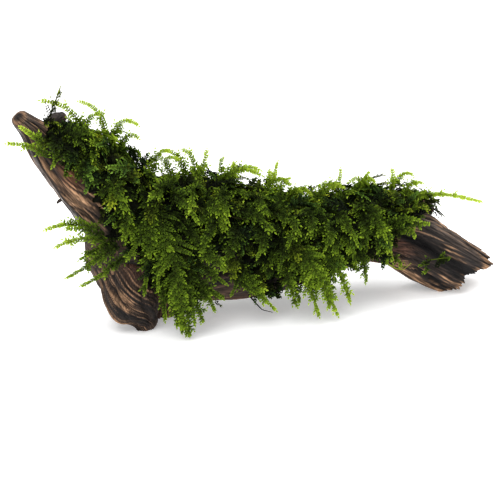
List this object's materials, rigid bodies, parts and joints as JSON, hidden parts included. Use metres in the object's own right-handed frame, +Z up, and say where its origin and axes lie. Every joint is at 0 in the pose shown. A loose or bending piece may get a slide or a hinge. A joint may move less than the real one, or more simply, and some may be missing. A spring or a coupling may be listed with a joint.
{
  "type": "christmas moss on driftwood",
  "caption": "Forked driftwood on a knobbly foot, overgrown with feathery green moss that hangs in fronds; an aquarium planting that stands on its own.",
  "frame": {"origin": "middle of the footprint's bounding box, on the ground", "axes": "+X along the trunk towards its broken end, -Y is the front seen in the picture, +Z up"},
  "size_m": [0.1245, 0.0352, 0.0588],
  "materials": {
    "wood": "rough weathered",
    "foot_wood": "rough weathered",
    "moss": "matte"
  },
  "bodies": {
    "root": {"trunk": "wood", "arm": "wood", "foot": "foot_wood", "heel": "foot_wood", "moss_left_curtain": "moss", "moss_right_curtain": "moss", "moss_middle": "moss", "moss_right_spray": "moss", "moss_leg_tuft": "moss", "moss_arm": "moss"}
  },
  "joints": []
}
